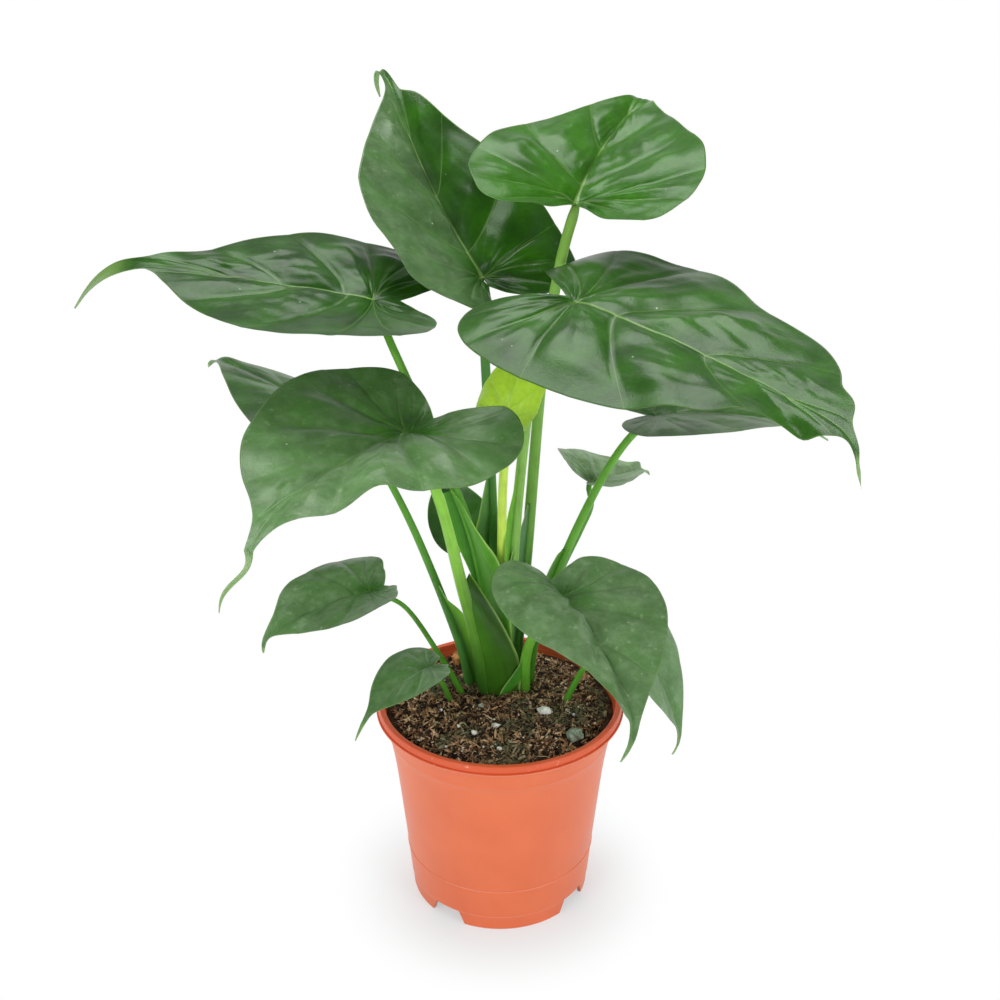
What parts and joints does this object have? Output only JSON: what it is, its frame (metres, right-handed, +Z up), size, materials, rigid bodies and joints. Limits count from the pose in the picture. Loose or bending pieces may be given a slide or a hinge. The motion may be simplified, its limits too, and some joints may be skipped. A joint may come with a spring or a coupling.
{
  "type": "potted alocasia",
  "caption": "Leafy houseplant with heart-shaped leaves on tall stalks, growing in potting soil in a round clay-coloured plastic nursery pot.",
  "frame": {"origin": "middle of the plant's spread, on the surface that the pot stands on; the pot's axis is at x 19.1 mm, y 26.2 mm", "axes": "+Z up along the pot's axis; +X to the right and +Y to the back, as seen from the side that the front leaves lean to"},
  "size_m": [0.4711, 0.424, 0.5429],
  "materials": {
    "clay_plastic": "moulded polypropylene with a soft sheen, clay coloured all through",
    "potting_soil": "crumbly dark peat and bark fibre, matt",
    "corm_skin": "brown papery skin, matt",
    "leaf_green": "waxy deep green with paler veins and margin, a soft gloss above and duller below",
    "young_leaf": "soft lime green, slightly see-through",
    "stalk_green": "smooth mid green, paler where the light comes through, with a soft gloss",
    "perlite": "off-white, porous, matt",
    "clay_pebble": "warm tan, smooth but matt",
    "grey_pebble": "grey-green, matt"
  },
  "bodies": {
    "root": {"grow_pot": "clay_plastic", "potting_mix": "potting_soil", "corm": "corm_skin", "leaf_top_left": "leaf_green", "leaf_top_right": "leaf_green", "leaf_left": "leaf_green", "leaf_right": "leaf_green", "leaf_mid_left": "leaf_green", "leaf_rear_left": "leaf_green", "leaf_rear_right": "leaf_green", "leaf_small_rear_right": "leaf_green", "leaf_small_rear_centre": "leaf_green", "leaf_front_right": "leaf_green", "leaf_low_right": "leaf_green", "leaf_small_left": "leaf_green", "leaf_low_left": "leaf_green", "leaf_young": "young_leaf", "stalk_top_left": "stalk_green", "stalk_top_right": "stalk_green", "stalk_left": "stalk_green", "stalk_right": "stalk_green", "stalk_mid_left": "stalk_green", "stalk_rear_left": "stalk_green", "stalk_rear_right": "stalk_green", "stalk_small_rear_right": "stalk_green", "stalk_small_rear_centre": "stalk_green", "stalk_front_right": "stalk_green", "stalk_low_right": "stalk_green", "stalk_small_left": "stalk_green", "stalk_low_left": "stalk_green", "stalk_young": "young_leaf", "pebble_clay": "clay_pebble", "pebble_grey": "grey_pebble", "perlite_1": "perlite", "perlite_2": "perlite", "perlite_3": "perlite", "perlite_4": "perlite", "perlite_5": "perlite"}
  },
  "joints": []
}
